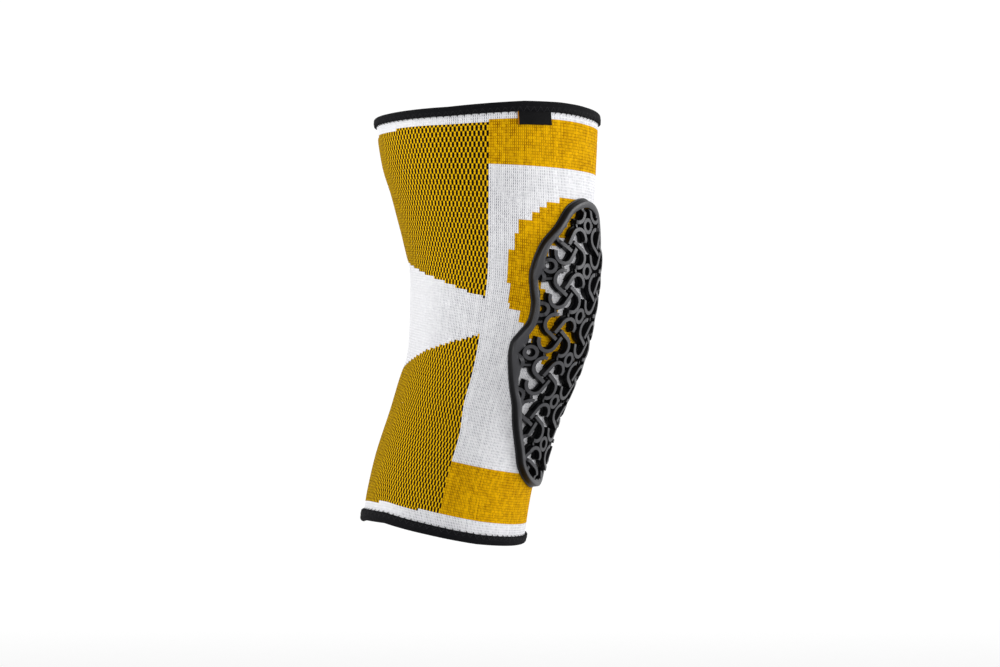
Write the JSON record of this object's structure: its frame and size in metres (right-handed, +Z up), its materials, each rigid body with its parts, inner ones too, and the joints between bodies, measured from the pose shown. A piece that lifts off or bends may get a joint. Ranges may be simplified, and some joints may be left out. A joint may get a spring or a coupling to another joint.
{
  "type": "mountain bike knee pad",
  "caption": "Pull-on knee pad: a tapered, slightly bent knitted sleeve with taped edges and a soft moulded lattice guard over the kneecap.",
  "frame": {"origin": "centre of the wearer's knee, inside the sleeve at the level of the kneecap", "axes": "+Z up along the thigh, -Y out of the front of the knee, -X to the outer side of the right leg"},
  "size_m": [0.1424, 0.1555, 0.2801],
  "materials": {
    "knit": "two-colour jacquard knit in yellow with white and black yarn, matt",
    "tape": "black elastic binding tape, zigzag stitched, matt",
    "woven_tag": "black woven tag, fine satin weave",
    "guard_rubber": "charcoal black soft moulded rubber, semi-matt"
  },
  "bodies": {
    "root": {"knit_sleeve": "knit", "top_binding": "tape", "bottom_binding": "tape", "side_label": "woven_tag", "knee_guard": "guard_rubber"}
  },
  "joints": []
}
